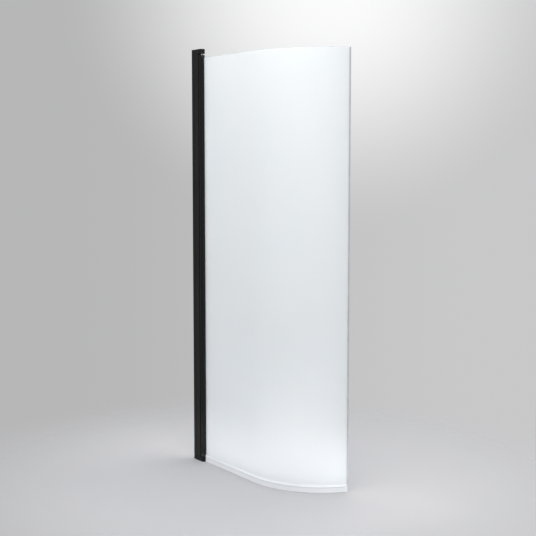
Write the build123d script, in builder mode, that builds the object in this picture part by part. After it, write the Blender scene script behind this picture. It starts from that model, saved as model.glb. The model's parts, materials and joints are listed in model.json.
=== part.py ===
"""Curved shower screen: one bent sheet of frosted glass that swings on a black wall profile.

Frame: the origin is on the wall face, at floor level, on the profile's centreline. +X leads away from the
wall, +Y into the shower, on the hollow side of the bend, and +Z up.
"""

import os
from math import cos, degrees, radians, sin, sqrt

from build123d import *

# Whole screen, in millimetres
HEIGHT = 2000.0
PROFILE_WIDTH = 30.0
AXIS_X = 65.0
BRACKET_HEIGHT = 22.0
BOTTOM_GAP = 14.0
TOP_GAP = 6.5

# Glass: straight from the post, then one bend towards the shower side
GLASS_THICKNESS = 6.0
GLASS_START = 75.5
BEND_START = 490.0
BEND_RADIUS = 375.0
BEND_ANGLE = 72.0
GLASS_BOTTOM = 26.0
GLASS_TOP = 1958.0
GLASS_ARRIS = 0.8

# Wall channel
CHANNEL_DEPTH = 20.5
CHANNEL_WEB = 3.5
CHANNEL_FLANGE = 1.8
CHANNEL_ROUND = 0.8
WALL_SCREW_RADIUS = 2.75
WALL_SCREW_SINK_RADIUS = 5.0
WALL_SCREW_HEIGHTS = (100.0, 700.0, 1300.0, 1900.0)
SEAL_TAPE_WIDTH = 4.0
SEAL_TAPE_DEPTH = 1.0
SEAL_TAPE_Y = 9.0
PLUG_HEIGHT = 15.0
PLUG_CLEARANCE = 0.2
PLUG_WALL = 2.0

# Adjusting profile: its tail slides in the channel, its head carries the brackets
SLIDE_CLEARANCE = 0.3
JOINT_GAP = 1.2
ADJUST_TRAVEL = 6.0
TAIL_START = 4.5
TAIL_WALL = 1.6
HEAD_START = CHANNEL_DEPTH + JOINT_GAP
HEAD_END = 56.0
HEAD_WALL = 1.8
HEAD_HOLLOW_END = 47.5
PORT_X = 27.0
PORT_Y = 9.5
PORT_BOSS_RADIUS = 4.0
EDGE_ROUND = 1.0
HORN_ROUND = 1.2

# Clamp screws between the channel and the adjusting profile
CLAMP_HEIGHTS = (150.0, 1000.0, 1850.0)
CLAMP_X = 15.5
SCREW_RADIUS = 2.0
SCREW_CLEARANCE = 0.1
SLOT_CLEARANCE = 0.3
CLAMP_HEAD_RADIUS = 4.0
CLAMP_HEAD_HEIGHT = 2.4
CLAMP_SCREW_END = 6.5
CLAMP_NUT_SIZE = (8.0, 16.0)
CLAMP_NUT_THICKNESS = 3.2
CLAMP_RECESS_RADIUS = 1.3
CLAMP_RECESS_DEPTH = 1.4
COVER_RADIUS = 6.0
COVER_HEIGHT = 4.0
COVER_WALL = 1.2
COVER_ROUND = 2.0

# Hinge post that turns with the glass
POST_RADIUS = 14.4
POST_CLEARANCE = 0.6
POST_BORE_RADIUS = 7.0
NECK_END = 90.5
NECK_HALF_WIDTH = 8.5
NECK_ROOT_ROUND = 3.0
NECK_LIP_ROUND = 1.5
SLOT_START = 74.0
SLOT_HALF_WIDTH = 6.0
POST_CAP_THICKNESS = 2.0
POST_CAP_INSET = 0.3
SPIGOT_LENGTH = 30.0
NOTCH_CLEARANCE = 0.1
NOTCH_INSET = 1.0
TAB_CLEARANCE = 0.5
SKIRT_INSET = 1.4
SKIRT_BORE_RADIUS = 10.2
SKIRT_ABOVE_BRACKET = 4.5

# Wipers in the head's hollow front, close to the post
WIPER_ANGLE = 20.0
WIPER_CENTRE_RADIUS = 15.6
WIPER_RADIUS = 1.3
WIPER_GAP = 0.3

# Pivot pins, bushes and their locking
PIN_RADIUS = 4.0
PIN_TIP_CHAMFER = 0.8
BUSH_RADIUS = 5.5
BUSH_CLEARANCE = 0.05
BUSH_LENGTH = 26.0
PIN_IN_BUSH = 28.0
PIN_IN_BRACKET = 16.0
NUT_FLATS = 17.0
NUT_HEIGHT = 11.0
WASHER_RADIUS = 9.0
WASHER_CLEARANCE = 0.1
GRUB_LENGTH = 8.0
GRUB_SOCKET_RADIUS = 1.1
GRUB_SOCKET_DEPTH = 1.5

# Brackets
TONGUE_START = 31.5
TONGUE_CLEARANCE = 0.3
TONGUE_HEIGHT = 10.0
COVER_PLATE_THICKNESS = 2.5
BRACKET_ROUND = 1.5
BRACKET_CHAMFER = 0.6
BRACKET_HEAD_RADIUS = 3.7
BRACKET_HEAD_HEIGHT = 3.5
BRACKET_SINK_RADIUS = 4.0
BRACKET_SINK_DEPTH = 5.5
BRACKET_SCREW_REACH = 16.0
COVER_PEG_RADIUS = 1.8
COVER_PEG_LENGTH = 1.8

# Glazing inside the post's slot
CLAMP_STRIP_THICKNESS = 1.5
GASKET_START = 76.0
GASKET_LIP = 1.0
PACKER_HEIGHTS = (120.0, 1000.0, 1880.0)
PACKER_LENGTH = 40.0
GLASS_GRUB_X = 84.0
GLASS_GRUB_RADIUS = 2.5
GLASS_GRUB_RECESS = 0.5
GLASS_GRUB_COUNT = 6
GLASS_GRUB_FIRST = 130.0
GLASS_GRUB_SOCKET_DEPTH = 1.2

# Clear strips on the glass
SEAL_START = 83.0
SEAL_GRIP_TOP = 35.5
SEAL_WALL = 1.4
SEAL_WEB = 2.0
SEAL_TIP = 4.0
SEAL_FIN_THICKNESS = 1.8
SEAL_DRIP_REACH = 9.0
SEAL_DRIP_DROP = 8.0
SEAL_DRIP_THICKNESS = 1.2
SEAL_CUT = 0.5
STRIP_GRIP = 6.0
STRIP_WALL = 1.1
STRIP_NOSE = 1.6

# Worked out from the above
HALF_WIDTH = PROFILE_WIDTH / 2
HALF_GLASS = GLASS_THICKNESS / 2
CHANNEL_INNER = HALF_WIDTH - CHANNEL_FLANGE
TAIL_OUTER = CHANNEL_INNER - SLIDE_CLEARANCE
TAIL_INNER = TAIL_OUTER - TAIL_WALL
HEAD_INNER = HALF_WIDTH - HEAD_WALL
HEAD_BOTTOM = BRACKET_HEIGHT
HEAD_TOP = HEIGHT - BRACKET_HEIGHT
POST_BOTTOM = BRACKET_HEIGHT + BOTTOM_GAP
POST_TOP = HEIGHT - BRACKET_HEIGHT - TOP_GAP
TUBE_BOTTOM = POST_BOTTOM + POST_CAP_THICKNESS
TUBE_TOP = POST_TOP - POST_CAP_THICKNESS
AXIS = (AXIS_X, 0.0)
BEND_CENTRE = (BEND_START, BEND_RADIUS)
TOP_PLATE_BOTTOM = HEIGHT - COVER_PLATE_THICKNESS
SET_HOLE_DEPTH = HALF_WIDTH - PIN_RADIUS / 2
STRIP_GRIP_ANGLE = degrees(STRIP_GRIP / BEND_RADIUS)
STRIP_NOSE_ANGLE = degrees(STRIP_NOSE / BEND_RADIUS)
SEAL_HALF_WIDTH = HALF_GLASS + SEAL_WALL
CAP_RADIUS = POST_RADIUS - POST_CAP_INSET
NECK_CUT_HALF_WIDTH = NECK_HALF_WIDTH + NECK_ROOT_ROUND
TAB_END = AXIS_X + sqrt(CAP_RADIUS**2 - SLOT_HALF_WIDTH**2)


os.makedirs("parts", exist_ok=True)


def export(piece, name):
    """Label the finished piece and write it to its own file."""
    piece.part.label = name
    export_step(piece.part, f"parts/{name}.step")


def point_on_bend(offset, angle):
    """A plan point on the bend, offset towards the shower side, at an angle past the bend's start."""
    radius = BEND_RADIUS - offset
    turn = radians(angle)
    return (BEND_START + radius * sin(turn), BEND_RADIUS - radius * cos(turn))


def panel_band(outer, inner, start):
    """Plan strip along the glass, between two offsets from its centreline, straight and then bent."""
    with BuildSketch() as band:
        with BuildLine():
            Line((start, outer), (BEND_START, outer))
            CenterArc(BEND_CENTRE, BEND_RADIUS - outer, -90, BEND_ANGLE)
            Line(point_on_bend(outer, BEND_ANGLE), point_on_bend(inner, BEND_ANGLE))
            CenterArc(BEND_CENTRE, BEND_RADIUS - inner, -90, BEND_ANGLE)
            Line((BEND_START, inner), (start, inner))
            Line((start, inner), (start, outer))
        make_face()
    return band.sketch


def bend_band(outer, inner, first, last):
    """Plan strip along the bend alone, between two offsets and two angles past the bend's start."""
    with BuildSketch() as band:
        with BuildLine():
            CenterArc(BEND_CENTRE, BEND_RADIUS - outer, first - 90, last - first)
            Line(point_on_bend(outer, last), point_on_bend(inner, last))
            CenterArc(BEND_CENTRE, BEND_RADIUS - inner, first - 90, last - first)
            Line(point_on_bend(inner, first), point_on_bend(outer, first))
        make_face()
    return band.sketch


def box_plan(x0, x1, y0, y1, mode=Mode.ADD):
    """Plan rectangle between two corners."""
    with Locations(((x0 + x1) / 2, (y0 + y1) / 2)):
        Rectangle(x1 - x0, y1 - y0, mode=mode)


def nose_plan():
    """Plan outline of a bracket: square against the channel, round about the pivot."""
    box_plan(HEAD_START, AXIS_X, -HALF_WIDTH, HALF_WIDTH)
    with Locations(AXIS):
        Circle(HALF_WIDTH)


def post_plan(inset=0.0):
    """Plan outline of the hinge post: a round back about the pivot and a neck that holds the glass."""
    box_plan(AXIS_X, NECK_END - inset, -NECK_HALF_WIDTH + inset, NECK_HALF_WIDTH - inset)
    with Locations(AXIS):
        Circle(POST_RADIUS - inset)


# Wall channel, screwed to the wall through its web
with BuildPart() as wall_profile:
    with BuildSketch() as channel_section:
        box_plan(0, CHANNEL_DEPTH, -HALF_WIDTH, HALF_WIDTH)
        fillet(channel_section.vertices().group_by(Axis.X)[-1], CHANNEL_ROUND)
        box_plan(CHANNEL_WEB, CHANNEL_DEPTH, -CHANNEL_INNER, CHANNEL_INNER, mode=Mode.SUBTRACT)
        for side in (-1, 1):
            with Locations((SEAL_TAPE_DEPTH / 2, side * SEAL_TAPE_Y)):
                Rectangle(SEAL_TAPE_DEPTH, SEAL_TAPE_WIDTH, mode=Mode.SUBTRACT)
    extrude(amount=HEIGHT)
    with Locations(*[Plane((CHANNEL_WEB, 0, z), z_dir=(1, 0, 0)) for z in WALL_SCREW_HEIGHTS]):
        CounterSinkHole(WALL_SCREW_RADIUS, WALL_SCREW_SINK_RADIUS, depth=CHANNEL_WEB, counter_sink_angle=90)
    with Locations(*[Plane((CLAMP_X, HALF_WIDTH, z), z_dir=(0, 1, 0)) for z in CLAMP_HEIGHTS]):
        Hole(SCREW_RADIUS + SCREW_CLEARANCE, depth=CHANNEL_FLANGE)
export(wall_profile, "wall_profile")

# Two soft strips, flush with the channel's back, that seal it to the wall
with BuildPart() as wall_sealing_strips:
    with BuildSketch():
        for side in (-1, 1):
            with Locations((SEAL_TAPE_DEPTH / 2, side * SEAL_TAPE_Y)):
                Rectangle(SEAL_TAPE_DEPTH, SEAL_TAPE_WIDTH)
    extrude(amount=HEIGHT)
export(wall_sealing_strips, "wall_sealing_strips")


def channel_plug(name, end_z, inwards):
    """Moulded tray that closes one end of the channel; inwards is the way from that end into the profile."""
    x0, x1 = CHANNEL_WEB + PLUG_CLEARANCE, CHANNEL_DEPTH - PLUG_CLEARANCE
    half = CHANNEL_INNER - PLUG_CLEARANCE
    with BuildPart() as plug:
        with BuildSketch(Plane.XY.offset(end_z)):
            box_plan(x0, x1, -half, half)
        extrude(amount=inwards * PLUG_HEIGHT)
        with BuildSketch(Plane.XY.offset(end_z + inwards * PLUG_WALL)):
            box_plan(x0 + PLUG_WALL, x1 - PLUG_WALL, PLUG_WALL - half, half - PLUG_WALL)
        extrude(amount=inwards * PLUG_HEIGHT, mode=Mode.SUBTRACT)
    export(plug, name)


channel_plug("wall_plug_bottom", 0.0, 1)
channel_plug("wall_plug_top", HEIGHT, -1)

# Clamp screws: pan heads on the shower side of the channel
with BuildPart() as clamp_screws:
    for z in CLAMP_HEIGHTS:
        with BuildSketch(Plane((CLAMP_X, HALF_WIDTH, z), z_dir=(0, 1, 0))):
            Circle(SCREW_RADIUS)
        extrude(amount=CLAMP_SCREW_END - HALF_WIDTH)
        with BuildSketch(Plane((CLAMP_X, HALF_WIDTH, z), z_dir=(0, 1, 0))):
            Circle(CLAMP_HEAD_RADIUS)
        extrude(amount=CLAMP_HEAD_HEIGHT)
        with BuildSketch(Plane((CLAMP_X, HALF_WIDTH + CLAMP_HEAD_HEIGHT, z), z_dir=(0, 1, 0))):
            RegularPolygon(CLAMP_RECESS_RADIUS, 6)
        extrude(amount=-CLAMP_RECESS_DEPTH, mode=Mode.SUBTRACT)
    fillet(clamp_screws.edges().group_by(Axis.Y)[-1].filter_by(GeomType.CIRCLE), EDGE_ROUND)
export(clamp_screws, "clamp_screws")

# Nut plates that the clamp screws draw against the tail
with BuildPart() as clamp_nuts:
    nut_face = TAIL_INNER - SLIDE_CLEARANCE
    for z in CLAMP_HEIGHTS:
        with BuildSketch(Plane((CLAMP_X, nut_face, z), x_dir=(1, 0, 0), z_dir=(0, 1, 0))):
            Rectangle(*CLAMP_NUT_SIZE)
            Circle(SCREW_RADIUS, mode=Mode.SUBTRACT)
        extrude(amount=-CLAMP_NUT_THICKNESS)
export(clamp_nuts, "clamp_nuts")

# Push-on caps over the clamp screws' heads
with BuildPart() as screw_covers:
    for z in CLAMP_HEIGHTS:
        with BuildSketch(Plane((CLAMP_X, HALF_WIDTH, z), z_dir=(0, 1, 0))):
            Circle(COVER_RADIUS)
        extrude(amount=COVER_HEIGHT)
    fillet(screw_covers.edges().group_by(Axis.Y)[-1], COVER_ROUND)
    for z in CLAMP_HEIGHTS:
        with BuildSketch(Plane((CLAMP_X, HALF_WIDTH, z), z_dir=(0, 1, 0))):
            Circle(COVER_RADIUS - COVER_WALL)
        extrude(amount=COVER_HEIGHT - COVER_WALL, mode=Mode.SUBTRACT)
export(screw_covers, "screw_covers")

# Adjusting profile: two tail flanges, a hollow head, and a hollow front that the post turns in
with BuildPart() as adjusting_profile:
    with BuildSketch(Plane.XY.offset(HEAD_BOTTOM)) as head_section:
        box_plan(HEAD_START, HEAD_END, -HALF_WIDTH, HALF_WIDTH)
        fillet(head_section.vertices().group_by(Axis.X)[-1], HORN_ROUND)
        fillet(head_section.vertices().group_by(Axis.X)[0], EDGE_ROUND)
        box_plan(HEAD_START + HEAD_WALL, HEAD_HOLLOW_END, -HEAD_INNER, HEAD_INNER, mode=Mode.SUBTRACT)
        with Locations(AXIS):
            Circle(POST_RADIUS + POST_CLEARANCE, mode=Mode.SUBTRACT)
            with PolarLocations(WIPER_CENTRE_RADIUS, 2, 180 - WIPER_ANGLE, 2 * WIPER_ANGLE, endpoint=True):
                Circle(WIPER_RADIUS, mode=Mode.SUBTRACT)
        for side in (-1, 1):
            box_plan(TAIL_START, HEAD_START + HEAD_WALL, *sorted((side * TAIL_INNER, side * TAIL_OUTER)))
            with Locations((PORT_X, side * PORT_Y)):
                Circle(PORT_BOSS_RADIUS)
                Circle(SCREW_RADIUS, mode=Mode.SUBTRACT)
    extrude(amount=HEAD_TOP - HEAD_BOTTOM)
    slot_centre = CLAMP_X - ADJUST_TRAVEL / 2
    slot_width = 2 * (SCREW_RADIUS + SLOT_CLEARANCE)
    for z in CLAMP_HEIGHTS:
        with BuildSketch(Plane((slot_centre, TAIL_OUTER, z), x_dir=(1, 0, 0), z_dir=(0, 1, 0))):
            SlotOverall(ADJUST_TRAVEL + slot_width, slot_width)
        extrude(amount=-TAIL_WALL, mode=Mode.SUBTRACT)
export(adjusting_profile, "adjusting_profile")


def wiper(name, side):
    """Soft bead in the head's groove, trimmed just clear of the turning post."""
    turn = radians(180 - side * WIPER_ANGLE)
    centre = (AXIS_X + WIPER_CENTRE_RADIUS * cos(turn), WIPER_CENTRE_RADIUS * sin(turn))
    with BuildPart() as bead:
        with BuildSketch(Plane.XY.offset(HEAD_BOTTOM)):
            with Locations(centre):
                Circle(WIPER_RADIUS)
            with Locations(AXIS):
                Circle(POST_RADIUS + WIPER_GAP, mode=Mode.SUBTRACT)
        extrude(amount=HEAD_TOP - HEAD_BOTTOM)
    export(bead, name)


wiper("wiper_outer", -1)
wiper("wiper_inner", 1)

# Bottom bracket: stands on the floor and carries the lower pivot
with BuildPart() as bottom_bracket:
    with BuildSketch():
        nose_plan()
    extrude(amount=BRACKET_HEIGHT)
    chamfer(bottom_bracket.edges().group_by(Axis.Z)[-1], BRACKET_CHAMFER)
    with BuildSketch(Plane.XY.offset(BRACKET_HEIGHT)):
        box_plan(TONGUE_START, HEAD_HOLLOW_END - TONGUE_CLEARANCE, TONGUE_CLEARANCE - HEAD_INNER,
                 HEAD_INNER - TONGUE_CLEARANCE)
    extrude(amount=TONGUE_HEIGHT)
    with BuildSketch(Plane.XY.offset(BRACKET_HEIGHT)):
        with Locations(AXIS):
            Circle(PIN_RADIUS)
    extrude(amount=-PIN_IN_BRACKET, mode=Mode.SUBTRACT)
    with Locations(*[Plane((PORT_X, side * PORT_Y, 0), z_dir=(0, 0, -1)) for side in (-1, 1)]):
        CounterBoreHole(SCREW_RADIUS + SCREW_CLEARANCE, BRACKET_SINK_RADIUS, BRACKET_SINK_DEPTH,
                        depth=BRACKET_HEIGHT)
    with Locations(Plane((AXIS_X, HALF_WIDTH, BRACKET_HEIGHT / 2), z_dir=(0, 1, 0))):
        Hole(SCREW_RADIUS, depth=SET_HOLE_DEPTH)
export(bottom_bracket, "bottom_bracket")

# Top bracket: carries the upper pivot under a cover plate
with BuildPart() as top_bracket:
    with BuildSketch(Plane.XY.offset(HEAD_TOP)):
        nose_plan()
    extrude(amount=TOP_PLATE_BOTTOM - HEAD_TOP)
    chamfer(top_bracket.edges().group_by(Axis.Z)[0], BRACKET_CHAMFER)
    with BuildSketch(Plane.XY.offset(HEAD_TOP)):
        box_plan(TONGUE_START, HEAD_HOLLOW_END - TONGUE_CLEARANCE, TONGUE_CLEARANCE - HEAD_INNER,
                 HEAD_INNER - TONGUE_CLEARANCE)
    extrude(amount=-TONGUE_HEIGHT)
    with BuildSketch(Plane.XY.offset(HEAD_TOP)):
        with Locations(AXIS):
            Circle(PIN_RADIUS)
    extrude(amount=PIN_IN_BRACKET, mode=Mode.SUBTRACT)
    with Locations(*[(PORT_X, side * PORT_Y, TOP_PLATE_BOTTOM) for side in (-1, 1)]):
        CounterBoreHole(SCREW_RADIUS + SCREW_CLEARANCE, BRACKET_SINK_RADIUS, BRACKET_SINK_DEPTH,
                        depth=TOP_PLATE_BOTTOM - HEAD_TOP)
    with Locations(Plane((AXIS_X, HALF_WIDTH, HEIGHT - BRACKET_HEIGHT / 2), z_dir=(0, 1, 0))):
        Hole(SCREW_RADIUS, depth=SET_HOLE_DEPTH)
export(top_bracket, "top_bracket")

# Cover plate over the top bracket's screws, with two pegs in their sinks
with BuildPart() as top_cover:
    with BuildSketch(Plane.XY.offset(TOP_PLATE_BOTTOM)):
        nose_plan()
    extrude(amount=COVER_PLATE_THICKNESS)
    fillet(top_cover.edges().group_by(Axis.Z)[-1], BRACKET_ROUND)
    with BuildSketch(Plane.XY.offset(TOP_PLATE_BOTTOM)):
        with Locations((PORT_X, -PORT_Y), (PORT_X, PORT_Y)):
            Circle(COVER_PEG_RADIUS)
    extrude(amount=-COVER_PEG_LENGTH)
export(top_cover, "top_cover")


def bracket_screw(mouth_z, face_z):
    """One screw on the Z axis, from its sink's mouth at mouth_z to past the bracket's face at face_z."""
    inwards = 1 if face_z > mouth_z else -1
    seat = mouth_z + inwards * BRACKET_SINK_DEPTH
    shank = abs(face_z - seat) + BRACKET_SCREW_REACH
    with BuildPart() as screw:
        with BuildSketch(Plane.XY.offset(seat)):
            Circle(SCREW_RADIUS)
        extrude(amount=inwards * shank)
        with BuildSketch(Plane.XY.offset(seat)):
            Circle(BRACKET_HEAD_RADIUS)
        extrude(amount=-inwards * BRACKET_HEAD_HEIGHT)
        with BuildSketch(Plane.XY.offset(seat - inwards * BRACKET_HEAD_HEIGHT)):
            RegularPolygon(CLAMP_RECESS_RADIUS, 6)
        extrude(amount=inwards * CLAMP_RECESS_DEPTH, mode=Mode.SUBTRACT)
    return screw.part


# The four screws that hold the brackets to the adjusting profile
lower_screw = bracket_screw(0.0, BRACKET_HEIGHT)
upper_screw = bracket_screw(TOP_PLATE_BOTTOM, HEAD_TOP)
with BuildPart() as bracket_screws:
    with Locations((PORT_X, -PORT_Y, 0), (PORT_X, PORT_Y, 0)):
        add(lower_screw)
        add(upper_screw)
export(bracket_screws, "bracket_screws")

# Grub screws that lock the pins in the brackets
with BuildPart() as pin_set_screws:
    for z in (BRACKET_HEIGHT / 2, HEIGHT - BRACKET_HEIGHT / 2):
        with BuildSketch(Plane((AXIS_X, PIN_RADIUS, z), z_dir=(0, 1, 0))):
            Circle(SCREW_RADIUS)
        extrude(amount=GRUB_LENGTH)
        with BuildSketch(Plane((AXIS_X, PIN_RADIUS + GRUB_LENGTH, z), z_dir=(0, 1, 0))):
            RegularPolygon(GRUB_SOCKET_RADIUS, 6)
        extrude(amount=-GRUB_SOCKET_DEPTH, mode=Mode.SUBTRACT)
export(pin_set_screws, "pin_set_screws")

# Lower pivot pin, fixed in the bottom bracket
with BuildPart() as bottom_pivot_pin:
    with BuildSketch(Plane.XY.offset(BRACKET_HEIGHT - PIN_IN_BRACKET)):
        with Locations(AXIS):
            Circle(PIN_RADIUS)
    extrude(amount=PIN_IN_BRACKET + BOTTOM_GAP + PIN_IN_BUSH)
    chamfer(bottom_pivot_pin.edges().group_by(Axis.Z)[-1], PIN_TIP_CHAMFER)
export(bottom_pivot_pin, "bottom_pivot_pin")

# Upper pivot pin, fixed in the top bracket
with BuildPart() as top_pivot_pin:
    with BuildSketch(Plane.XY.offset(HEAD_TOP + PIN_IN_BRACKET)):
        with Locations(AXIS):
            Circle(PIN_RADIUS)
    extrude(amount=-(PIN_IN_BRACKET + TOP_GAP + PIN_IN_BUSH))
    chamfer(top_pivot_pin.edges().group_by(Axis.Z)[0], PIN_TIP_CHAMFER)
export(top_pivot_pin, "top_pivot_pin")

# Hexagon nut on the lower pin that sets the screen's height
with BuildPart() as height_nut:
    with BuildSketch(Plane.XY.offset(BRACKET_HEIGHT)):
        with Locations(AXIS):
            RegularPolygon(NUT_FLATS / 2, 6, major_radius=False)
            Circle(PIN_RADIUS, mode=Mode.SUBTRACT)
    extrude(amount=NUT_HEIGHT)
export(height_nut, "height_nut")

# Slippery washer that the post turns on
with BuildPart() as thrust_washer:
    with BuildSketch(Plane.XY.offset(BRACKET_HEIGHT + NUT_HEIGHT)):
        with Locations(AXIS):
            Circle(WASHER_RADIUS)
            Circle(PIN_RADIUS, mode=Mode.SUBTRACT)
    extrude(amount=BOTTOM_GAP - NUT_HEIGHT - WASHER_CLEARANCE)
export(thrust_washer, "thrust_washer")

# Hinge post: one extrusion with a bore for the pivots and a slot for the glass. Its neck is cut off level
# with the glass, and the round back goes on up to the cap.
with BuildPart() as hinge_post:
    with BuildSketch(Plane.XY.offset(TUBE_BOTTOM)) as post_section:
        post_plan()
        lip_corners = post_section.vertices().group_by(Axis.X)[-1]
        fillet(lip_corners, NECK_LIP_ROUND)
        root_x = AXIS_X + sqrt(POST_RADIUS**2 - NECK_HALF_WIDTH**2)
        roots = post_section.vertices().filter_by_position(Axis.X, root_x - EDGE_ROUND, root_x + EDGE_ROUND)
        fillet(roots, NECK_ROOT_ROUND)
        box_plan(SLOT_START, NECK_END, -SLOT_HALF_WIDTH, SLOT_HALF_WIDTH, mode=Mode.SUBTRACT)
        with Locations(AXIS):
            Circle(POST_BORE_RADIUS, mode=Mode.SUBTRACT)
    extrude(amount=TUBE_TOP - TUBE_BOTTOM)
    with BuildSketch(Plane.XY.offset(GLASS_TOP)):
        box_plan(SLOT_START, NECK_END, -NECK_CUT_HALF_WIDTH, NECK_CUT_HALF_WIDTH)
        with Locations(AXIS):
            Circle(POST_RADIUS, mode=Mode.SUBTRACT)
    extrude(amount=TUBE_TOP - GLASS_TOP, mode=Mode.SUBTRACT)
    grub_step = (HEIGHT - 2 * GLASS_GRUB_FIRST) / (GLASS_GRUB_COUNT - 1)
    grub_heights = [GLASS_GRUB_FIRST + grub_step * i for i in range(GLASS_GRUB_COUNT)]
    with Locations(*[Plane((GLASS_GRUB_X, NECK_HALF_WIDTH, z), z_dir=(0, 1, 0)) for z in grub_heights]):
        Hole(GLASS_GRUB_RADIUS, depth=NECK_HALF_WIDTH - SLOT_HALF_WIDTH)
export(hinge_post, "hinge_post")


def post_cap(name, plate_z, inwards, tab=0.0, skirt=0.0):
    """Moulded cap on one end of the post, with a spigot in the bore and room for the bush.

    With a tab, its plate is round and the tab fills the slot above the glass. Otherwise the plate is notched
    for the glass, and a skirt hangs from it round the height nut, open where the glass and its seal pass.
    """
    with BuildPart() as cap:
        with BuildSketch(Plane.XY.offset(plate_z)):
            if tab:
                with Locations(AXIS):
                    Circle(CAP_RADIUS)
            else:
                post_plan(POST_CAP_INSET)
                box_plan(SLOT_START + NOTCH_INSET, NECK_END, -HALF_GLASS - NOTCH_CLEARANCE,
                         HALF_GLASS + NOTCH_CLEARANCE, mode=Mode.SUBTRACT)
        extrude(amount=inwards * POST_CAP_THICKNESS)
        if tab:
            with BuildSketch(Plane.XY.offset(plate_z + inwards * POST_CAP_THICKNESS)):
                box_plan(SLOT_START + NOTCH_INSET, TAB_END, NOTCH_CLEARANCE - SLOT_HALF_WIDTH,
                         SLOT_HALF_WIDTH - NOTCH_CLEARANCE)
            extrude(amount=inwards * tab)
        if skirt:
            with BuildSketch(Plane.XY.offset(plate_z)):
                post_plan(SKIRT_INSET)
                box_plan(SLOT_START + NOTCH_INSET, NECK_END, -SEAL_HALF_WIDTH - NOTCH_CLEARANCE,
                         SEAL_HALF_WIDTH + NOTCH_CLEARANCE, mode=Mode.SUBTRACT)
                with Locations(AXIS):
                    Circle(SKIRT_BORE_RADIUS, mode=Mode.SUBTRACT)
            extrude(amount=-inwards * skirt)
        with BuildSketch(Plane.XY.offset(plate_z + inwards * POST_CAP_THICKNESS)):
            with Locations(AXIS):
                Circle(POST_BORE_RADIUS)
        extrude(amount=inwards * SPIGOT_LENGTH)
        with BuildSketch(Plane.XY.offset(plate_z)):
            with Locations(AXIS):
                Circle(BUSH_RADIUS)
        extrude(amount=inwards * (POST_CAP_THICKNESS + SPIGOT_LENGTH), mode=Mode.SUBTRACT)
    export(cap, name)


def bush(name, end_z, inwards):
    """Plain bearing pressed into a post cap, running on its pivot pin."""
    with BuildPart() as sleeve:
        with BuildSketch(Plane.XY.offset(end_z)):
            with Locations(AXIS):
                Circle(BUSH_RADIUS)
                Circle(PIN_RADIUS + BUSH_CLEARANCE, mode=Mode.SUBTRACT)
        extrude(amount=inwards * BUSH_LENGTH)
    export(sleeve, name)


post_cap("post_cap_bottom", POST_BOTTOM, 1, skirt=BOTTOM_GAP - SKIRT_ABOVE_BRACKET)
post_cap("post_cap_top", POST_TOP, -1, tab=TUBE_TOP - GLASS_TOP - TAB_CLEARANCE)
bush("bottom_bush", POST_BOTTOM, 1)
bush("top_bush", POST_TOP, -1)

# Outer gasket: fills the slot's outer side and shows a rounded lip at its mouth
with BuildPart() as outer_gasket:
    with BuildSketch(Plane.XY.offset(TUBE_BOTTOM)) as outer_gasket_section:
        box_plan(GASKET_START, NECK_END + GASKET_LIP, -SLOT_HALF_WIDTH, -HALF_GLASS)
        fillet(outer_gasket_section.vertices().group_by(Axis.X)[-1].sort_by(Axis.Y)[0], GASKET_LIP)
    extrude(amount=GLASS_TOP - TUBE_BOTTOM)
export(outer_gasket, "outer_gasket")

# Inner gasket: thinner, with the clamp strip behind it, and the same lip over both
with BuildPart() as inner_gasket:
    with BuildSketch(Plane.XY.offset(TUBE_BOTTOM)) as inner_gasket_section:
        box_plan(GASKET_START, NECK_END + GASKET_LIP, HALF_GLASS, SLOT_HALF_WIDTH)
        box_plan(GASKET_START, NECK_END - GASKET_LIP, SLOT_HALF_WIDTH - CLAMP_STRIP_THICKNESS,
                 SLOT_HALF_WIDTH, mode=Mode.SUBTRACT)
        fillet(inner_gasket_section.vertices().group_by(Axis.X)[-1].sort_by(Axis.Y)[-1], GASKET_LIP)
    extrude(amount=GLASS_TOP - TUBE_BOTTOM)
export(inner_gasket, "inner_gasket")

# Metal strip that spreads the grub screws' pressure over the glass
with BuildPart() as clamp_strip:
    with BuildSketch(Plane.XY.offset(TUBE_BOTTOM)):
        box_plan(GASKET_START, NECK_END - GASKET_LIP, SLOT_HALF_WIDTH - CLAMP_STRIP_THICKNESS,
                 SLOT_HALF_WIDTH)
    extrude(amount=GLASS_TOP - TUBE_BOTTOM)
export(clamp_strip, "clamp_strip")

# Grub screws on the shower side that press the clamp strip against the glass
with BuildPart() as glass_grub_screws:
    for z in grub_heights:
        with BuildSketch(Plane((GLASS_GRUB_X, SLOT_HALF_WIDTH, z), z_dir=(0, 1, 0))):
            Circle(GLASS_GRUB_RADIUS)
        extrude(amount=NECK_HALF_WIDTH - SLOT_HALF_WIDTH - GLASS_GRUB_RECESS)
        with BuildSketch(Plane((GLASS_GRUB_X, NECK_HALF_WIDTH - GLASS_GRUB_RECESS, z), z_dir=(0, 1, 0))):
            RegularPolygon(CLAMP_RECESS_RADIUS, 6)
        extrude(amount=-GLASS_GRUB_SOCKET_DEPTH, mode=Mode.SUBTRACT)
export(glass_grub_screws, "glass_grub_screws")

# Packers between the glass's hidden edge and the slot's floor
with BuildPart() as glass_packers:
    for z in PACKER_HEIGHTS:
        with BuildSketch(Plane.XY.offset(z - PACKER_LENGTH / 2)):
            box_plan(SLOT_START, GLASS_START, -HALF_GLASS, HALF_GLASS)
        extrude(amount=PACKER_LENGTH)
export(glass_packers, "glass_packers")

# Glass: one sheet, straight and then bent, with its upper edges eased
with BuildPart() as glass_panel:
    with BuildSketch(Plane.XY.offset(GLASS_BOTTOM)):
        add(panel_band(-HALF_GLASS, HALF_GLASS, GLASS_START))
    extrude(amount=GLASS_TOP - GLASS_BOTTOM)
    chamfer(glass_panel.edges().group_by(Axis.Z)[-1], GLASS_ARRIS)
export(glass_panel, "glass_panel")

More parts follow.
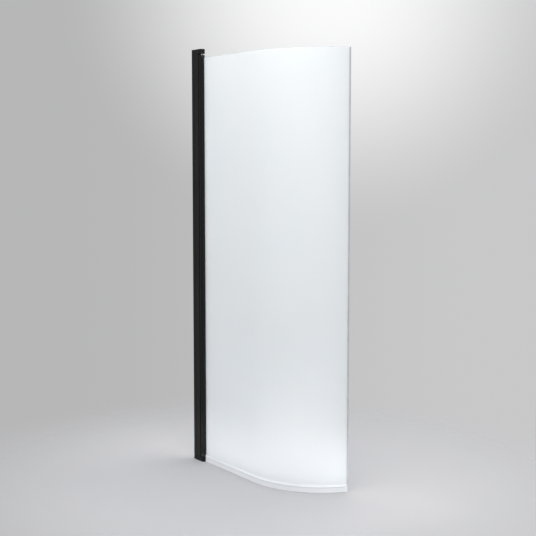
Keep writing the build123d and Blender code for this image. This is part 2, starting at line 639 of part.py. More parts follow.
# Clear edge strip: two legs and a nose round the glass's free edge
with BuildPart() as edge_strip:
    with BuildSketch(Plane.XY.offset(GLASS_BOTTOM)):
        for side in (-1, 1):
            leg = sorted((side * HALF_GLASS, side * (HALF_GLASS + STRIP_WALL)))
            add(bend_band(*leg, BEND_ANGLE - STRIP_GRIP_ANGLE, BEND_ANGLE))
        half_strip = HALF_GLASS + STRIP_WALL
        add(bend_band(-half_strip, half_strip, BEND_ANGLE, BEND_ANGLE + STRIP_NOSE_ANGLE))
    extrude(amount=GLASS_TOP - GLASS_BOTTOM)
export(edge_strip, "edge_strip")

# Clear bottom seal: a grip round the glass, a fin down to the floor, and a drip lip on the shower side.
# Its grip stops short of the free edge, where the edge strip comes down to it.
with BuildPart() as bottom_seal:
    with BuildLine() as seal_path:
        Line((SEAL_START, 0, GLASS_BOTTOM), (BEND_START, 0, GLASS_BOTTOM))
        CenterArc((*BEND_CENTRE, GLASS_BOTTOM), BEND_RADIUS, -90, BEND_ANGLE)
    seal_plane = Plane((SEAL_START, 0, 0), x_dir=(0, 1, 0), z_dir=(1, 0, 0))
    with BuildSketch(seal_plane):
        web_bottom = GLASS_BOTTOM - SEAL_WEB
        box_plan(-SEAL_HALF_WIDTH, SEAL_HALF_WIDTH, web_bottom, SEAL_GRIP_TOP)
        box_plan(-HALF_GLASS, HALF_GLASS, GLASS_BOTTOM, SEAL_GRIP_TOP, mode=Mode.SUBTRACT)
        box_plan(-SEAL_FIN_THICKNESS / 2, SEAL_FIN_THICKNESS / 2, SEAL_TIP, web_bottom)
        with BuildLine():
            drip_end = SEAL_HALF_WIDTH + SEAL_DRIP_REACH
            Polyline(
                (SEAL_HALF_WIDTH, GLASS_BOTTOM),
                (drip_end, GLASS_BOTTOM - SEAL_DRIP_DROP),
                (drip_end - SEAL_DRIP_THICKNESS, GLASS_BOTTOM - SEAL_DRIP_DROP),
                (SEAL_HALF_WIDTH - SEAL_DRIP_THICKNESS, web_bottom),
                (SEAL_HALF_WIDTH - SEAL_DRIP_THICKNESS, GLASS_BOTTOM),
                close=True,
            )
        make_face()
    sweep(path=seal_path.line)
    with BuildSketch(Plane.XY.offset(GLASS_BOTTOM)):
        for side in (-1, 1):
            leg = sorted((side * (HALF_GLASS - SEAL_CUT), side * (SEAL_HALF_WIDTH + SEAL_CUT)))
            add(bend_band(*leg, BEND_ANGLE - STRIP_GRIP_ANGLE, BEND_ANGLE + STRIP_NOSE_ANGLE))
    extrude(amount=SEAL_GRIP_TOP - GLASS_BOTTOM + SEAL_CUT, mode=Mode.SUBTRACT)
export(bottom_seal, "bottom_seal")
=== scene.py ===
"""Curved shower screen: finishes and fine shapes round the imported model, in a plain pale studio."""

import json
from math import cos, radians, sin, tan

import bmesh
import bpy
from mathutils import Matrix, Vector

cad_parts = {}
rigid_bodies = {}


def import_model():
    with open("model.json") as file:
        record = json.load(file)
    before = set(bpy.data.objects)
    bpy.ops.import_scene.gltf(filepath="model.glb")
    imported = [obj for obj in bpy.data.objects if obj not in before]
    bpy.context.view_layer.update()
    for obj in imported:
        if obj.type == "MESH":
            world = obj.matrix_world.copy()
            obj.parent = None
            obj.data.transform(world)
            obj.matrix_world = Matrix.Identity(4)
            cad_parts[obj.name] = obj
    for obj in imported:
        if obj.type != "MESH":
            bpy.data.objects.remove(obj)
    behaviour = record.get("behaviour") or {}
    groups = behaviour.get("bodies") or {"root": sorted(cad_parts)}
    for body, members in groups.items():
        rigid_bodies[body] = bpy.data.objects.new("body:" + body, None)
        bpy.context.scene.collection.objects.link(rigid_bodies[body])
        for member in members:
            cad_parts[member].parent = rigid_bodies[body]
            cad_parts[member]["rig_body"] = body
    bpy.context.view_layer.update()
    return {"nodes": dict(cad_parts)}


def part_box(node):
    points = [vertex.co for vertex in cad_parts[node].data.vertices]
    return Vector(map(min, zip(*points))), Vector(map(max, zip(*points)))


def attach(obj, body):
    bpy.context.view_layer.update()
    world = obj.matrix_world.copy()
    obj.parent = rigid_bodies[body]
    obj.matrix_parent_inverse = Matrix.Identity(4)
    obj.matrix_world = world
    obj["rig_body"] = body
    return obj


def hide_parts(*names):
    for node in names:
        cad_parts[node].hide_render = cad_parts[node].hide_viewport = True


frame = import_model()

nodes = frame["nodes"]

# Lengths are in millimetres where shapes are made, and in metres elsewhere
MM = 0.001
MICRON = 0.000001

# The glass's line in plan, as the CAD has it: straight, and then one bend
BEND_START = 490.0
BEND_RADIUS = 375.0
BEND_ANGLE = 72.0
RUN_END = BEND_START + BEND_RADIUS * radians(BEND_ANGLE)
STRAIGHT_STEPS = 14
BEND_STEPS = 96
FEWEST_BEND_STEPS = 4

glass_low, glass_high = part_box("glass_panel")
GLASS_START = glass_low.x / MM
GLASS_BOTTOM, GLASS_TOP = glass_low.z / MM, glass_high.z / MM
HALF_GLASS = 3.0
GLASS_ARRIS = 0.8
GLASS_ARRIS_STEPS = 3

# Seal under the glass. Its soft fin hangs lower than the CAD's, to just above the floor.
SEAL_WALL = 1.4
SEAL_WEB = 2.0
SEAL_FIN = 1.8
SEAL_FIN_TIP = 1.0
SEAL_DRIP_REACH = 9.0
SEAL_DRIP_DROP = 8.0
SEAL_DRIP_THICKNESS = 1.2
SEAL_LIP_ROUND = 0.5
SEAL_FOOT_ROUND = 0.8
SEAL_NECK_ROUND = 0.6
SEAL_DRIP_ROUND = 0.25
SEAL_CUT = 0.5
CUT_ABOVE = 0.05

# Strip round the free edge
STRIP_GRIP = 6.0
STRIP_WALL = 1.1
STRIP_NOSE = 1.6
STRIP_LEG_ROUND = 0.5
STRIP_NOSE_ROUND = 1.4
STRIP_NOSE_STEPS = 4
STRIP_END_ROUND = 0.3

# Corners of the seal and the strip beside the glass
INNER_ROUND = 0.3

# Faces that meet at more than the sharp angle keep a hard line between them, and facets that meet
# at less than the flat angle become one. Points closer than the weld distance are one point.
SHARP_ANGLE = radians(32.0)
FLAT_ANGLE = radians(0.6)
WELD = 0.001
ROUND_PROFILE = 0.5

# A face is level where the height part of its normal is more than this
LEVEL_NORMAL = 0.5

# The camera that took the photograph
CAMERA_PLACE = Vector((4.2474, -2.6681, 1.4621))
CAMERA_YAW = radians(36.179)
CAMERA_PITCH = radians(5.106)
CAMERA_SENSOR = 36.0
CAMERA_LENS = 69.03
CAMERA_SHIFT = -0.025


# Node helpers

def node(tree, kind, **inputs):
    """A new node with some of its inputs set, by the inputs' names with _ for a space."""
    made = tree.nodes.new("ShaderNode" + kind)
    for name, value in inputs.items():
        made.inputs[name.replace("_", " ")].default_value = value
    return made


def own_place(tree, stretch=(1.0, 1.0, 1.0)):
    """The piece's own coordinates in metres, scaled along its axes: a pattern on them moves with it."""
    own = tree.nodes.new("ShaderNodeTexCoord")
    mapping = node(tree, "Mapping", Scale=stretch)
    tree.links.new(own.outputs["Object"], mapping.inputs["Vector"])
    return mapping.outputs["Vector"]


def noise(tree, per_metre, detail, stretch=(1.0, 1.0, 1.0)):
    """Soft noise with about this many marks to the metre."""
    made = node(tree, "TexNoise", Scale=per_metre, Detail=detail, Roughness=0.55)
    tree.links.new(own_place(tree, stretch), made.inputs["Vector"])
    return made.outputs["Fac"]


def cells(tree, per_metre):
    """Rounded cells: the distance from their middles, with about this many to the metre."""
    made = node(tree, "TexVoronoi", Scale=per_metre)
    tree.links.new(own_place(tree), made.inputs["Vector"])
    return made.outputs["Distance"]


def between(tree, factor, low, high, start=0.3, end=0.7, kind="SMOOTHSTEP"):
    """A number that goes from low to high as the factor goes from start to end."""
    made = node(tree, "MapRange")
    made.interpolation_type = kind
    made.inputs["From Min"].default_value = start
    made.inputs["From Max"].default_value = end
    made.inputs["To Min"].default_value = low
    made.inputs["To Max"].default_value = high
    tree.links.new(factor, made.inputs["Value"])
    return made.outputs["Result"]


def blend_colours(tree, factor, first, second, start=0.3, end=0.7):
    """A colour that goes from the first to the second as the factor goes from start to end."""
    ramp = tree.nodes.new("ShaderNodeValToRGB")
    ramp.color_ramp.interpolation = "EASE"
    ramp.color_ramp.elements[0].position = start
    ramp.color_ramp.elements[0].color = (*first, 1.0)
    ramp.color_ramp.elements[1].position = end
    ramp.color_ramp.elements[1].color = (*second, 1.0)
    tree.links.new(factor, ramp.inputs["Fac"])
    return ramp.outputs["Color"]


def by_height(tree, stops):
    """A colour by the height above the floor, from (height in millimetres, colour) stops."""
    own = tree.nodes.new("ShaderNodeTexCoord")
    split = tree.nodes.new("ShaderNodeSeparateXYZ")
    tree.links.new(own.outputs["Object"], split.inputs["Vector"])
    low, high = stops[0][0], stops[-1][0]
    ramp = tree.nodes.new("ShaderNodeValToRGB")
    elements = ramp.color_ramp.elements
    ready = len(elements)
    for i, (height, colour) in enumerate(stops):
        share = (height - low) / (high - low)
        stop = elements[i] if i < ready else elements.new(share)
        stop.position = share
        stop.color = (*colour, 1.0)
    share_up = between(tree, split.outputs["Z"], 0.0, 1.0, low * MM, high * MM, "LINEAR")
    tree.links.new(share_up, ramp.inputs["Fac"])
    return ramp.outputs["Color"]


def relief(tree, *layers):
    """A surface normal from several (height, depth in metres) layers of bump."""
    normal = None
    for height, depth in layers:
        bump = node(tree, "Bump", Strength=1.0, Distance=depth)
        tree.links.new(height, bump.inputs["Height"])
        if normal is not None:
            tree.links.new(normal, bump.inputs["Normal"])
        normal = bump.outputs["Normal"]
    return normal


def mix_shaders(tree, factor, first, second):
    """The first shader where the factor is 0, and the second where it is 1."""
    mix = tree.nodes.new("ShaderNodeMixShader")
    for socket, source in zip(mix.inputs, (factor, first, second)):
        tree.links.new(source, socket)
    return mix.outputs["Shader"]


def finish(name, **settings):
    """A new material with a Principled shader and some of its sockets set."""
    material = bpy.data.materials.new(name)
    material.use_nodes = True
    shader = material.node_tree.nodes["Principled BSDF"]
    for socket, value in settings.items():
        shader.inputs[socket.replace("_", " ")].default_value = value
    return material, material.node_tree, shader


def wire(tree, shader, colour, roughness, normal):
    """Links what a finish varies over its surface to its shader."""
    tree.links.new(colour, shader.inputs["Base Color"])
    tree.links.new(roughness, shader.inputs["Roughness"])
    tree.links.new(normal, shader.inputs["Normal"])


# Finishes. Each goes from dark to pale and from smooth to rough over its surface.

DRAWN_LINES = (1.0, 1.0, 0.006)
DIE_LINES = (1.0, 1.0, 0.004)
ALONG_Z = (1.0, 1.0, 0.01)
ACROSS_Z = (0.05, 0.05, 1.0)


def coat(name, dark, pale, smooth, rough):
    """Matt black powder coat on an extruded profile: a fine dimpled skin over faint drawn lines."""
    material, tree, shader = finish(name, Specular_IOR_Level=0.15)
    clouds = noise(tree, per_metre=9.0, detail=3.0)
    dimples = noise(tree, per_metre=850.0, detail=1.0)
    lines = noise(tree, per_metre=420.0, detail=1.0, stretch=DRAWN_LINES)
    wire(
        tree,
        shader,
        blend_colours(tree, dimples, dark, pale),
        between(tree, clouds, smooth, rough),
        relief(tree, (dimples, 30 * MICRON), (lines, 20 * MICRON)),
    )
    return material


def rubber(name, dark, pale, smooth, rough):
    """Dull black rubber with fine lines from its die."""
    material, tree, shader = finish(name, Specular_IOR_Level=0.3)
    lines = noise(tree, per_metre=1500.0, detail=1.0, stretch=DIE_LINES)
    specks = noise(tree, per_metre=600.0, detail=3.0)
    wire(
        tree,
        shader,
        blend_colours(tree, specks, dark, pale),
        between(tree, specks, smooth, rough),
        relief(tree, (lines, 20 * MICRON), (specks, 20 * MICRON)),
    )
    return material


def moulded(name, dark, pale, smooth, rough):
    """Moulded plastic with the fine leathery grain of its tool."""
    material, tree, shader = finish(name, Specular_IOR_Level=0.45)
    grain = cells(tree, per_metre=1100.0)
    clouds = noise(tree, per_metre=60.0, detail=3.0)
    wire(
        tree,
        shader,
        blend_colours(tree, clouds, dark, pale),
        between(tree, clouds, smooth, rough),
        relief(tree, (grain, 30 * MICRON)),
    )
    return material


def foam(name, dark, pale, smooth, rough):
    """Closed-cell foam tape: small open pores in its cut faces, darker inside as painted shade."""
    material, tree, shader = finish(name, Specular_IOR_Level=0.2)
    pores = cells(tree, per_metre=1400.0)
    wire(
        tree,
        shader,
        # Darker in the pores: painted shade in the pits
        blend_colours(tree, pores, dark, pale, start=0.1, end=0.6),
        between(tree, pores, smooth, rough),
        relief(tree, (pores, 200 * MICRON)),
    )
    return material


def metal(name, dark, pale, smooth, rough, stretch):
    """Bare metal with fine lines left by its making, along the axes where the stretch is small."""
    material, tree, shader = finish(name, Metallic=1.0)
    lines = noise(tree, per_metre=1600.0, detail=2.0, stretch=stretch)
    clouds = noise(tree, per_metre=40.0, detail=3.0)
    wire(
        tree,
        shader,
        blend_colours(tree, clouds, dark, pale),
        between(tree, lines, smooth, rough),
        relief(tree, (lines, 10 * MICRON)),
    )
    return material


def frosted(name, dark, pale, smooth, rough):
    """Satin-etched glass: it lets light through softly, and looks like pale ice from both sides."""
    material, tree, shader = finish(name, Transmission_Weight=0.5, IOR=1.5, Specular_IOR_Level=0.35)
    etch = noise(tree, per_metre=1300.0, detail=2.0)
    clouds = noise(tree, per_metre=3.0, detail=3.0)
    wire(
        tree,
        shader,
        blend_colours(tree, clouds, dark, pale),
        between(tree, etch, smooth, rough),
        relief(tree, (etch, 20 * MICRON)),
    )
    return material


def polished_edge(name, dark, pale, smooth, rough):
    """The glass's ground and polished edges, which look greyer and clearer than its etched faces."""
    material, tree, shader = finish(name, Transmission_Weight=0.75, IOR=1.5)
    lines = noise(tree, per_metre=500.0, detail=2.0)
    wire(
        tree,
        shader,
        blend_colours(tree, lines, dark, pale),
        between(tree, lines, smooth, rough),
        relief(tree, (lines, 10 * MICRON)),
    )
    return material


def haze(tree):
    """Slow soft clouds in a clear plastic."""
    return noise(tree, per_metre=30.0, detail=3.0)


def half_clear(name, colour_by, smooth, rough, stretch):
    """Soft plastic drawn through a die, half clear and half milky, with faint lines along it.

    Its colour comes from a function that adds nodes to the material's tree.
    """
    material, tree, shader = finish(name, Transmission_Weight=0.2, IOR=1.46, Specular_IOR_Level=0.3)
    lines = noise(tree, per_metre=900.0, detail=2.0, stretch=stretch)
    wire(
        tree,
        shader,
        colour_by(tree),
        between(tree, haze(tree), smooth, rough),
        relief(tree, (lines, 10 * MICRON)),
    )
    return material


SEAL_FIN_COLOUR = (0.80, 0.81, 0.83)
# Darker band at the glass's bottom edge: painted shade, the shadow line where the seal steps in under the
# glass
SEAL_SHADE_LINE_COLOUR = (0.68, 0.70, 0.71)
SEAL_GRIP_COLOUR = (0.915, 0.940, 0.953)
SEAL_STOPS = [
    (0.0, SEAL_FIN_COLOUR),
    (22.5, SEAL_FIN_COLOUR),
    (24.5, SEAL_SHADE_LINE_COLOUR),
    (26.5, SEAL_SHADE_LINE_COLOUR),
    (28.5, SEAL_GRIP_COLOUR),
    (40.0, SEAL_GRIP_COLOUR),
]
# Grey of the clear edge strip: painted shade, standing in for the dark reflections the clear strip shows
STRIP_SHADE_DARK = (0.50, 0.51, 0.53)
STRIP_SHADE_PALE = (0.56, 0.57, 0.59)


def seal_colour(tree):
    """Like the glass where the seal grips it, a darker line of painted shade at the glass's edge, and
    greyer below it.
    """
    return by_height(tree, SEAL_STOPS)


def strip_painted_shade(tree):
    """The grey of the strip on the free edge: painted shade for the dark reflections in the clear strip.
    """
    return blend_colours(tree, haze(tree), STRIP_SHADE_DARK, STRIP_SHADE_PALE)


COAT_DARK = (0.0060, 0.0060, 0.0062)
COAT_PALE = (0.0090, 0.0090, 0.0093)
# The coat's eased edges: paler than its faces, partly wear and partly a painted highlight along the edges
RUBBED_AND_HIGHLIT_DARK = (0.0110, 0.0110, 0.0113)
RUBBED_AND_HIGHLIT_PALE = (0.0170, 0.0170, 0.0173)
PLASTIC_DARK = (0.010, 0.010, 0.0105)
PLASTIC_PALE = (0.014, 0.014, 0.0145)
RUBBER_DARK = (0.008, 0.008, 0.008)
RUBBER_PALE = (0.013, 0.013, 0.013)
FOAM_DARK = (0.02, 0.02, 0.021)
FOAM_PALE = (0.06, 0.06, 0.062)
STEEL_DARK = (0.50, 0.50, 0.49)
STEEL_PALE = (0.60, 0.60, 0.585)
ALUMINIUM_DARK = (0.66, 0.67, 0.68)
ALUMINIUM_PALE = (0.76, 0.77, 0.78)
ACETAL_DARK = (0.80, 0.80, 0.78)
ACETAL_PALE = (0.86, 0.86, 0.84)
FROST_DARK = (0.905, 0.935, 0.950)
FROST_PALE = (0.925, 0.945, 0.957)
EDGE_DARK = (0.70, 0.79, 0.79)
EDGE_PALE = (0.78, 0.85, 0.85)

# The finish of each slot's faces, and of the eased edges where they look different. The coat's eased
# edges are paler, partly from wear and partly as a painted highlight.
faces = {
    "black_coat": coat("coat_face", COAT_DARK, COAT_PALE, smooth=0.42, rough=0.52),
    "black_plastic": moulded("plastic_face", PLASTIC_DARK, PLASTIC_PALE, smooth=0.45, rough=0.6),
    "black_rubber": rubber("rubber_face", RUBBER_DARK, RUBBER_PALE, smooth=0.62, rough=0.78),
    "seal_foam": foam("foam_face", FOAM_DARK, FOAM_PALE, smooth=0.8, rough=0.95),
    "stainless": metal("steel_face", STEEL_DARK, STEEL_PALE, smooth=0.2, rough=0.36, stretch=ACROSS_Z),
    "mill_aluminium": metal(
        "aluminium_face", ALUMINIUM_DARK, ALUMINIUM_PALE, smooth=0.26, rough=0.42, stretch=ALONG_Z
    ),
    "white_acetal": moulded("acetal_face", ACETAL_DARK, ACETAL_PALE, smooth=0.3, rough=0.42),
    "clear_plastic": half_clear("seal_face", seal_colour, smooth=0.34, rough=0.46, stretch=ACROSS_Z),
    "frosted_glass": frosted("glass_face", FROST_DARK, FROST_PALE, smooth=0.52, rough=0.66),
}
edges = {
    "black_coat": coat("coat_edge_wear_and_highlight", RUBBED_AND_HIGHLIT_DARK, RUBBED_AND_HIGHLIT_PALE, smooth=0.34, rough=0.44),
    "frosted_glass": polished_edge("glass_edge", EDGE_DARK, EDGE_PALE, smooth=0.12, rough=0.22),
}
strip_face = half_clear("strip_face", strip_painted_shade, smooth=0.34, rough=0.46, stretch=ALONG_Z)


# Shape helpers

def plan_point(run, offset):
    """A plan point beside the glass's centreline: the run along it, and the offset to the shower side."""
    if run <= BEND_START:
        return run, offset
    turn = (run - BEND_START) / BEND_RADIUS
    radius = BEND_RADIUS - offset
    return BEND_START + radius * sin(turn), BEND_RADIUS - radius * cos(turn)


def runs_between(first, last):
    """Stations along the glass, closer together on the bend."""
    straight = max(0.0, min(last, BEND_START) - first)
    count = max(1, round(STRAIGHT_STEPS * straight / BEND_START)) if straight > 0 else 0
    stations = [first + straight * i / count for i in range(count)]
    bend_first = max(first, BEND_START)
    steps = max(FEWEST_BEND_STEPS, round(BEND_STEPS * (last - bend_first) / (RUN_END - BEND_START)))
    return stations + [bend_first + (last - bend_first) * i / steps for i in range(steps + 1)]


def rounded(corners, steps=3):
    """A closed outline from (x, y, radius) corners, each turned into an arc between its two sides."""
    points = []
    for i, (x, y, radius) in enumerate(corners):
        corner = Vector((x, y))
        back = (Vector(corners[i - 1][:2]) - corner).normalized()
        ahead = (Vector(corners[(i + 1) % len(corners)][:2]) - corner).normalized()
        half = back.angle(ahead) / 2
        reach = radius / tan(half)
        centre = corner + (back + ahead).normalized() * (radius / sin(half))
        start, end = corner + back * reach - centre, corner + ahead * reach - centre
        for step in range(steps + 1):
            spoke = start.slerp(end, step / steps)
            points.append(centre + spoke)
    return [(p.x, p.y) for p in points]


def bridge_rings(rings):
    """A closed mesh through rings of points in millimetres, with a flat face at each end.

    The flat faces are its last two, at the first ring and then at the last.
    """
    mesh = bmesh.new()
    loops = [[mesh.verts.new(Vector(p) * MM) for p in ring] for ring in rings]
    for here, there in zip(loops, loops[1:]):
        for i, vert in enumerate(here):
            mesh.faces.new((here[i - 1], vert, there[i], there[i - 1]))
    mesh.faces.new(reversed(loops[0]))
    mesh.faces.new(loops[-1])
    bmesh.ops.recalc_face_normals(mesh, faces=mesh.faces[:])
    return mesh


def along_glass(section, first, last):
    """A section of (offset, height) points carried along the glass between two runs."""
    return bridge_rings(
        [[(*plan_point(run, offset), z) for offset, z in section] for run in runs_between(first, last)]
    )


def cut_out(mesh, cutter):
    """The mesh with the space that another mesh fills cut out of it."""
    holders = []
    for shape in (mesh, cutter):
        data = bpy.data.meshes.new("shape")
        shape.to_mesh(data)
        shape.free()
        holder = bpy.data.objects.new("shape", data)
        bpy.context.scene.collection.objects.link(holder)
        holders.append(holder)
    holders[0].modifiers.new("cut", "BOOLEAN").object = holders[1]
    result = bmesh.new()
    result.from_object(holders[0], bpy.context.evaluated_depsgraph_get())
    for holder in holders:
        bpy.data.meshes.remove(holder.data)
    return result


def ease_edges(mesh, width, segments=2, material=0):
    """Rounds the edges where two faces meet at more than the sharp angle, by a width in millimetres."""
    bmesh.ops.bevel(
        mesh,
        geom=[e for e in mesh.edges if e.is_manifold and e.calc_face_angle() > SHARP_ANGLE],
        offset=width * MM,
        offset_type="OFFSET",
        segments=segments,
        profile=ROUND_PROFILE,
        affect="EDGES",
        clamp_overlap=True,
        material=material,
    )


def place(name, mesh, body, materials, replaced):
    """Makes the mesh a piece that rides on a body and stands for the CAD node named."""
    data = bpy.data.meshes.new(name)
    mesh.to_mesh(data)
    mesh.free()
    for layer in [a for a in data.attributes if a.name == "custom_normal"]:
        data.attributes.remove(layer)
    for material in materials:
        data.materials.append(material)
    data.polygons.foreach_set("use_smooth", [True] * len(data.polygons))
    data.set_sharp_from_angle(angle=SHARP_ANGLE)
    piece = bpy.data.objects.new(name, data)
    bpy.context.scene.collection.objects.link(piece)
    even = piece.modifiers.new("even_shading", "WEIGHTED_NORMAL")
    even.keep_sharp = True
    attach(piece, body)
    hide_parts(replaced)


def refine(name, width):
    """Puts a CAD node's shape again, welded, with coplanar facets joined and hard edges eased."""
    source = nodes[name]
    slot = source.data.materials[0].name
    mesh = bmesh.new()
    mesh.from_mesh(source.data)
    bmesh.ops.remove_doubles(mesh, verts=mesh.verts[:], dist=WELD * MM)
    bmesh.ops.dissolve_limit(
        mesh, angle_limit=FLAT_ANGLE, verts=mesh.verts[:], edges=mesh.edges[:], delimit={"SHARP"}
    )
    for face in mesh.faces:
        face.material_index = 0
    materials = [faces[slot]]
    if slot in edges:
        materials.append(edges[slot])
    ease_edges(mesh, width, material=len(materials) - 1)
    place(f"fine_{name}", mesh, source["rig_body"], materials, name)


# Glass and its strips

def make_glass():
    """The sheet itself: etched faces, and edges ground with a small polished arris."""
    etched, ground = 0, 1
    section = [
        (-HALF_GLASS, GLASS_BOTTOM),
        (HALF_GLASS, GLASS_BOTTOM),
        (HALF_GLASS, GLASS_TOP),
        (-HALF_GLASS, GLASS_TOP),
    ]
    mesh = along_glass(section, GLASS_START, RUN_END)
    for face in mesh.faces:
        face.material_index = ground if abs(face.normal.z) > LEVEL_NORMAL else etched
    mesh.faces.ensure_lookup_table()
    free_end = mesh.faces[-1]
    free_end.material_index = ground
    ease_edges(mesh, GLASS_ARRIS, GLASS_ARRIS_STEPS, ground)
    materials = [faces["frosted_glass"], edges["frosted_glass"]]
    place("frosted_sheet", mesh, "screen", materials, "glass_panel")


def make_seal():
    """Clear seal under the glass: a grip with soft lips, a drip lip on the shower side, and a fin.

    The grip stops where the edge strip comes down to it.
    """
    low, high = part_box("bottom_seal")
    grip = high.z / MM
    web = GLASS_BOTTOM - SEAL_WEB
    root = HALF_GLASS + SEAL_WALL
    fin = SEAL_FIN / 2
    drip = root + SEAL_DRIP_REACH
    drip_bottom = GLASS_BOTTOM - SEAL_DRIP_DROP
    section = rounded(
        [
            (-root, grip, SEAL_LIP_ROUND),
            (-root, web, SEAL_FOOT_ROUND),
            (-fin, web, SEAL_NECK_ROUND),
            (-fin, SEAL_FIN_TIP, SEAL_LIP_ROUND),
            (fin, SEAL_FIN_TIP, SEAL_LIP_ROUND),
            (fin, web, SEAL_NECK_ROUND),
            (root - SEAL_DRIP_THICKNESS, web, SEAL_LIP_ROUND),
            (drip - SEAL_DRIP_THICKNESS, drip_bottom, SEAL_DRIP_ROUND),
            (drip, drip_bottom, SEAL_DRIP_ROUND),
            (root, GLASS_BOTTOM, SEAL_NECK_ROUND),
            (root, grip, SEAL_LIP_ROUND),
            (HALF_GLASS, grip, INNER_ROUND),
            (HALF_GLASS, GLASS_BOTTOM, INNER_ROUND),
            (-HALF_GLASS, GLASS_BOTTOM, INNER_ROUND),
            (-HALF_GLASS, grip, INNER_ROUND),
        ]
    )
    mesh = along_glass(section, low.x / MM, RUN_END)
    beside = root + SEAL_CUT
    top = grip + SEAL_CUT
    bottom = GLASS_BOTTOM + CUT_ABOVE
    cut = [(-beside, bottom), (beside, bottom), (beside, top), (-beside, top)]
    mesh = cut_out(mesh, along_glass(cut, RUN_END - STRIP_GRIP, RUN_END + STRIP_NOSE))
    place("clear_seal", mesh, "screen", [faces["clear_plastic"]], "bottom_seal")


def make_strip():
    """Clear strip round the free edge: two legs on the glass and a round nose."""
    low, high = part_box("edge_strip")
    root = HALF_GLASS + STRIP_WALL
    start = RUN_END - STRIP_GRIP
    nose = RUN_END + STRIP_NOSE
    outline = rounded(
        [
            (start, -HALF_GLASS, INNER_ROUND),
            (start, -root, STRIP_LEG_ROUND),
            (nose, -root, STRIP_NOSE_ROUND),
            (nose, root, STRIP_NOSE_ROUND),
            (start, root, STRIP_LEG_ROUND),
            (start, HALF_GLASS, INNER_ROUND),
            (RUN_END, HALF_GLASS, INNER_ROUND),
            (RUN_END, -HALF_GLASS, INNER_ROUND),
        ],
        STRIP_NOSE_STEPS,
    )
    heights = (low.z / MM + 2 * CUT_ABOVE, high.z / MM)
    mesh = bridge_rings([[(*plan_point(run, offset), z) for run, offset in outline] for z in heights])
    ease_edges(mesh, STRIP_END_ROUND)
    place("clear_edge_strip", mesh, "screen", [strip_face], "edge_strip")


make_glass()
make_seal()
make_strip()

# Profiles, brackets and caps whose hard edges are eased, with the width in millimetres
EASED = {
    "wall_profile": 0.35,
    "adjusting_profile": 0.35,
    "hinge_post": 0.3,
    "bottom_bracket": 0.25,
    "top_bracket": 0.25,
    "top_cover": 0.3,
    "outer_gasket": 0.3,
    "inner_gasket": 0.3,
    "post_cap_bottom": 0.3,
    "post_cap_top": 0.3,
    "wall_plug_bottom": 0.3,
    "wall_plug_top": 0.3,
    "height_nut": 0.4,
    "thrust_washer": 0.25,
}
for name, width in EASED.items():
    refine(name, width)

# The other CAD nodes keep their shape and take the finish of their slot
for name, source in nodes.items():
    if name not in EASED:
        for holder in source.material_slots:
            holder.material = faces[holder.material.name]


# Studio

FLOOR_RADIUS = 7.0
FLOOR_SEGMENTS = 96
FLOOR_CENTRE = (0.45, 0.1)
FLOOR_COLOUR = (0.515, 0.512, 0.53)
FLOOR_FADE = (0.7, 1.8)


def make_floor():
    """Pale floor that fades out into the backdrop some way from the screen."""
    mesh = bmesh.new()
    bmesh.ops.create_circle(mesh, cap_ends=True, radius=FLOOR_RADIUS, segments=FLOOR_SEGMENTS)
    data = bpy.data.meshes.new("floor")
    mesh.to_mesh(data)
    mesh.free()
    floor = bpy.data.objects.new("floor", data)
    floor.location = (*FLOOR_CENTRE, 0.0)
    bpy.context.scene.collection.objects.link(floor)
    material, tree, shader = finish("floor_face", Roughness=0.75, Specular_IOR_Level=0.25)
    shader.inputs["Base Color"].default_value = (*FLOOR_COLOUR, 1.0)
    own = tree.nodes.new("ShaderNodeTexCoord")
    distance = tree.nodes.new("ShaderNodeVectorMath")
    distance.operation = "LENGTH"
    tree.links.new(own.outputs["Object"], distance.inputs[0])
    fade = between(tree, distance.outputs["Value"], 0.0, 1.0, *FLOOR_FADE)
    clear = tree.nodes.new("ShaderNodeBsdfTransparent")
    faded = mix_shaders(tree, fade, shader.outputs["BSDF"], clear.outputs["BSDF"])
    tree.links.new(faded, tree.nodes["Material Output"].inputs["Surface"])
    data.materials.append(material)


# The backdrop's tones at the left and the right, how far across they change, and a soft glow high on it
BACKDROP_LEFT = 0.478
BACKDROP_RIGHT = 0.585
BACKDROP_TINT = (0.99, 0.99, 1.0)
SIDEWAYS = (0.591, 0.807, 0.0)
SIDE_FROM, SIDE_TO = -0.2, 0.2
GLOW = 0.42
GLOW_TOWARDS = (-0.7655, 0.6203, 0.1710)
GLOW_WIDE, GLOW_NARROW = 0.25, 0.02
AMBIENT = (0.96, 0.98, 1.0)
AMBIENT_STRENGTH = 0.86


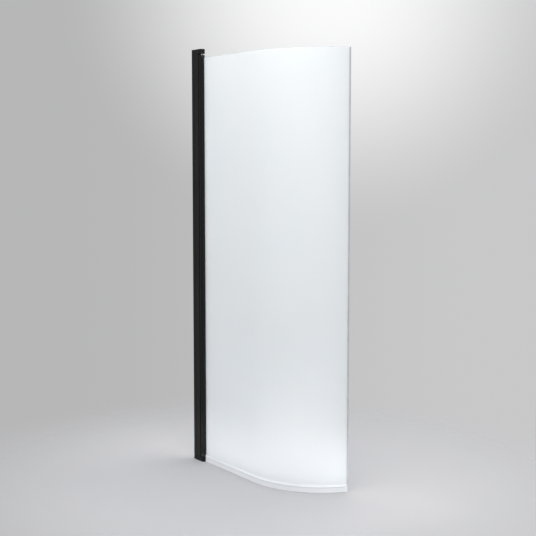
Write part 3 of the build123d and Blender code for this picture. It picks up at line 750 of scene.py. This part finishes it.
def make_world():
    """A soft backdrop for what sees it, and an even light for everything else."""
    world = bpy.data.worlds.new("studio")
    bpy.context.scene.world = world
    world.use_nodes = True
    tree = world.node_tree
    tree.nodes.clear()
    sight = tree.nodes.new("ShaderNodeTexCoord").outputs["Generated"]

    def compared(operation, direction):
        """A number from a vector operation on the line of sight and a fixed direction."""
        made = tree.nodes.new("ShaderNodeVectorMath")
        made.operation = operation
        made.inputs[1].default_value = direction
        tree.links.new(sight, made.inputs[0])
        return made.outputs["Value"]

    def sum_or_larger(operation, first, second):
        """Two numbers added, or the larger of them."""
        made = tree.nodes.new("ShaderNodeMath")
        made.operation = operation
        tree.links.new(first, made.inputs[0])
        tree.links.new(second, made.inputs[1])
        return made.outputs["Value"]

    side = compared("DOT_PRODUCT", SIDEWAYS)
    plain = between(tree, side, BACKDROP_LEFT, BACKDROP_RIGHT, SIDE_FROM, SIDE_TO)
    from_glow = compared("DISTANCE", GLOW_TOWARDS)
    glow = between(tree, from_glow, GLOW, 0.0, GLOW_NARROW, GLOW_WIDE)
    seen = node(tree, "Background", Color=(*BACKDROP_TINT, 1.0))
    tree.links.new(sum_or_larger("ADD", plain, glow), seen.inputs["Strength"])
    light = node(tree, "Background", Color=(*AMBIENT, 1.0), Strength=AMBIENT_STRENGTH)
    path = tree.nodes.new("ShaderNodeLightPath")
    sees_backdrop = path.outputs["Is Camera Ray"]
    for kind in ("Is Glossy Ray", "Is Transmission Ray"):
        sees_backdrop = sum_or_larger("MAXIMUM", sees_backdrop, path.outputs[kind])
    sky = mix_shaders(tree, sees_backdrop, light.outputs["Background"], seen.outputs["Background"])
    tree.links.new(sky, tree.nodes.new("ShaderNodeOutputWorld").inputs["Surface"])


WARM = (1.0, 0.975, 0.94)
WHITE = (1.0, 1.0, 1.0)

# Each lamp's name, place, aim, width and height, watts, spread in degrees, and colour: two overhead,
# which are a little warmer, a large one in front, and three low ones that fill the foot of the glass
LAMPS = [
    ("over_shower", (0.5, 0.55, 2.9), (0.5, 0.4, 0.0), (1.0, 1.0), 10.0, 110.0, WARM),
    ("over_room", (0.9, -0.8, 3.0), (0.7, -0.3, 0.3), (1.4, 1.4), 19.8, 180.0, WARM),
    ("front", (3.5, -2.1, 2.7), (0.5, 0.1, 1.2), (2.2, 2.2), 30.0, 180.0, WHITE),
    ("low_front", (0.15, -0.55, 0.04), (0.15, 0.0, 0.1), (0.9, 0.06), 0.22, 45.0, WHITE),
    ("low_side", (1.4, 0.1, 0.04), (0.82, 0.2, 0.1), (0.8, 0.06), 0.28, 45.0, WHITE),
    ("low_rise", (1.25, -0.75, 0.05), (0.78, 0.0, 0.3), (1.0, 0.06), 0.21, 40.0, WHITE),
]


def make_lamp(name, at, aim, size, power, spread, colour):
    """A soft lamp that faces a point."""
    data = bpy.data.lights.new(name, "AREA")
    data.shape = "RECTANGLE"
    data.size, data.size_y = size
    data.energy = power
    data.spread = radians(spread)
    data.color = colour
    lamp = bpy.data.objects.new(name, data)
    lamp.location = at
    lamp.visible_camera = False
    lamp.rotation_mode = "QUATERNION"
    lamp.rotation_quaternion = (Vector(aim) - Vector(at)).to_track_quat("-Z", "Y")
    bpy.context.scene.collection.objects.link(lamp)


def make_camera():
    """The camera where the photograph was taken from."""
    data = bpy.data.cameras.new("camera")
    data.sensor_width = CAMERA_SENSOR
    data.lens = CAMERA_LENS
    data.shift_y = CAMERA_SHIFT
    camera = bpy.data.objects.new("camera", data)
    ahead = Vector(
        (
            -cos(CAMERA_YAW) * cos(CAMERA_PITCH),
            sin(CAMERA_YAW) * cos(CAMERA_PITCH),
            -sin(CAMERA_PITCH),
        )
    )
    camera.location = CAMERA_PLACE
    camera.rotation_mode = "QUATERNION"
    camera.rotation_quaternion = ahead.to_track_quat("-Z", "Y")
    bpy.context.scene.collection.objects.link(camera)
    bpy.context.scene.camera = camera


make_floor()
make_world()
for lamp in LAMPS:
    make_lamp(*lamp)
make_camera()
bpy.context.scene.view_settings.view_transform = "Standard"

bpy.context.view_layer.update()
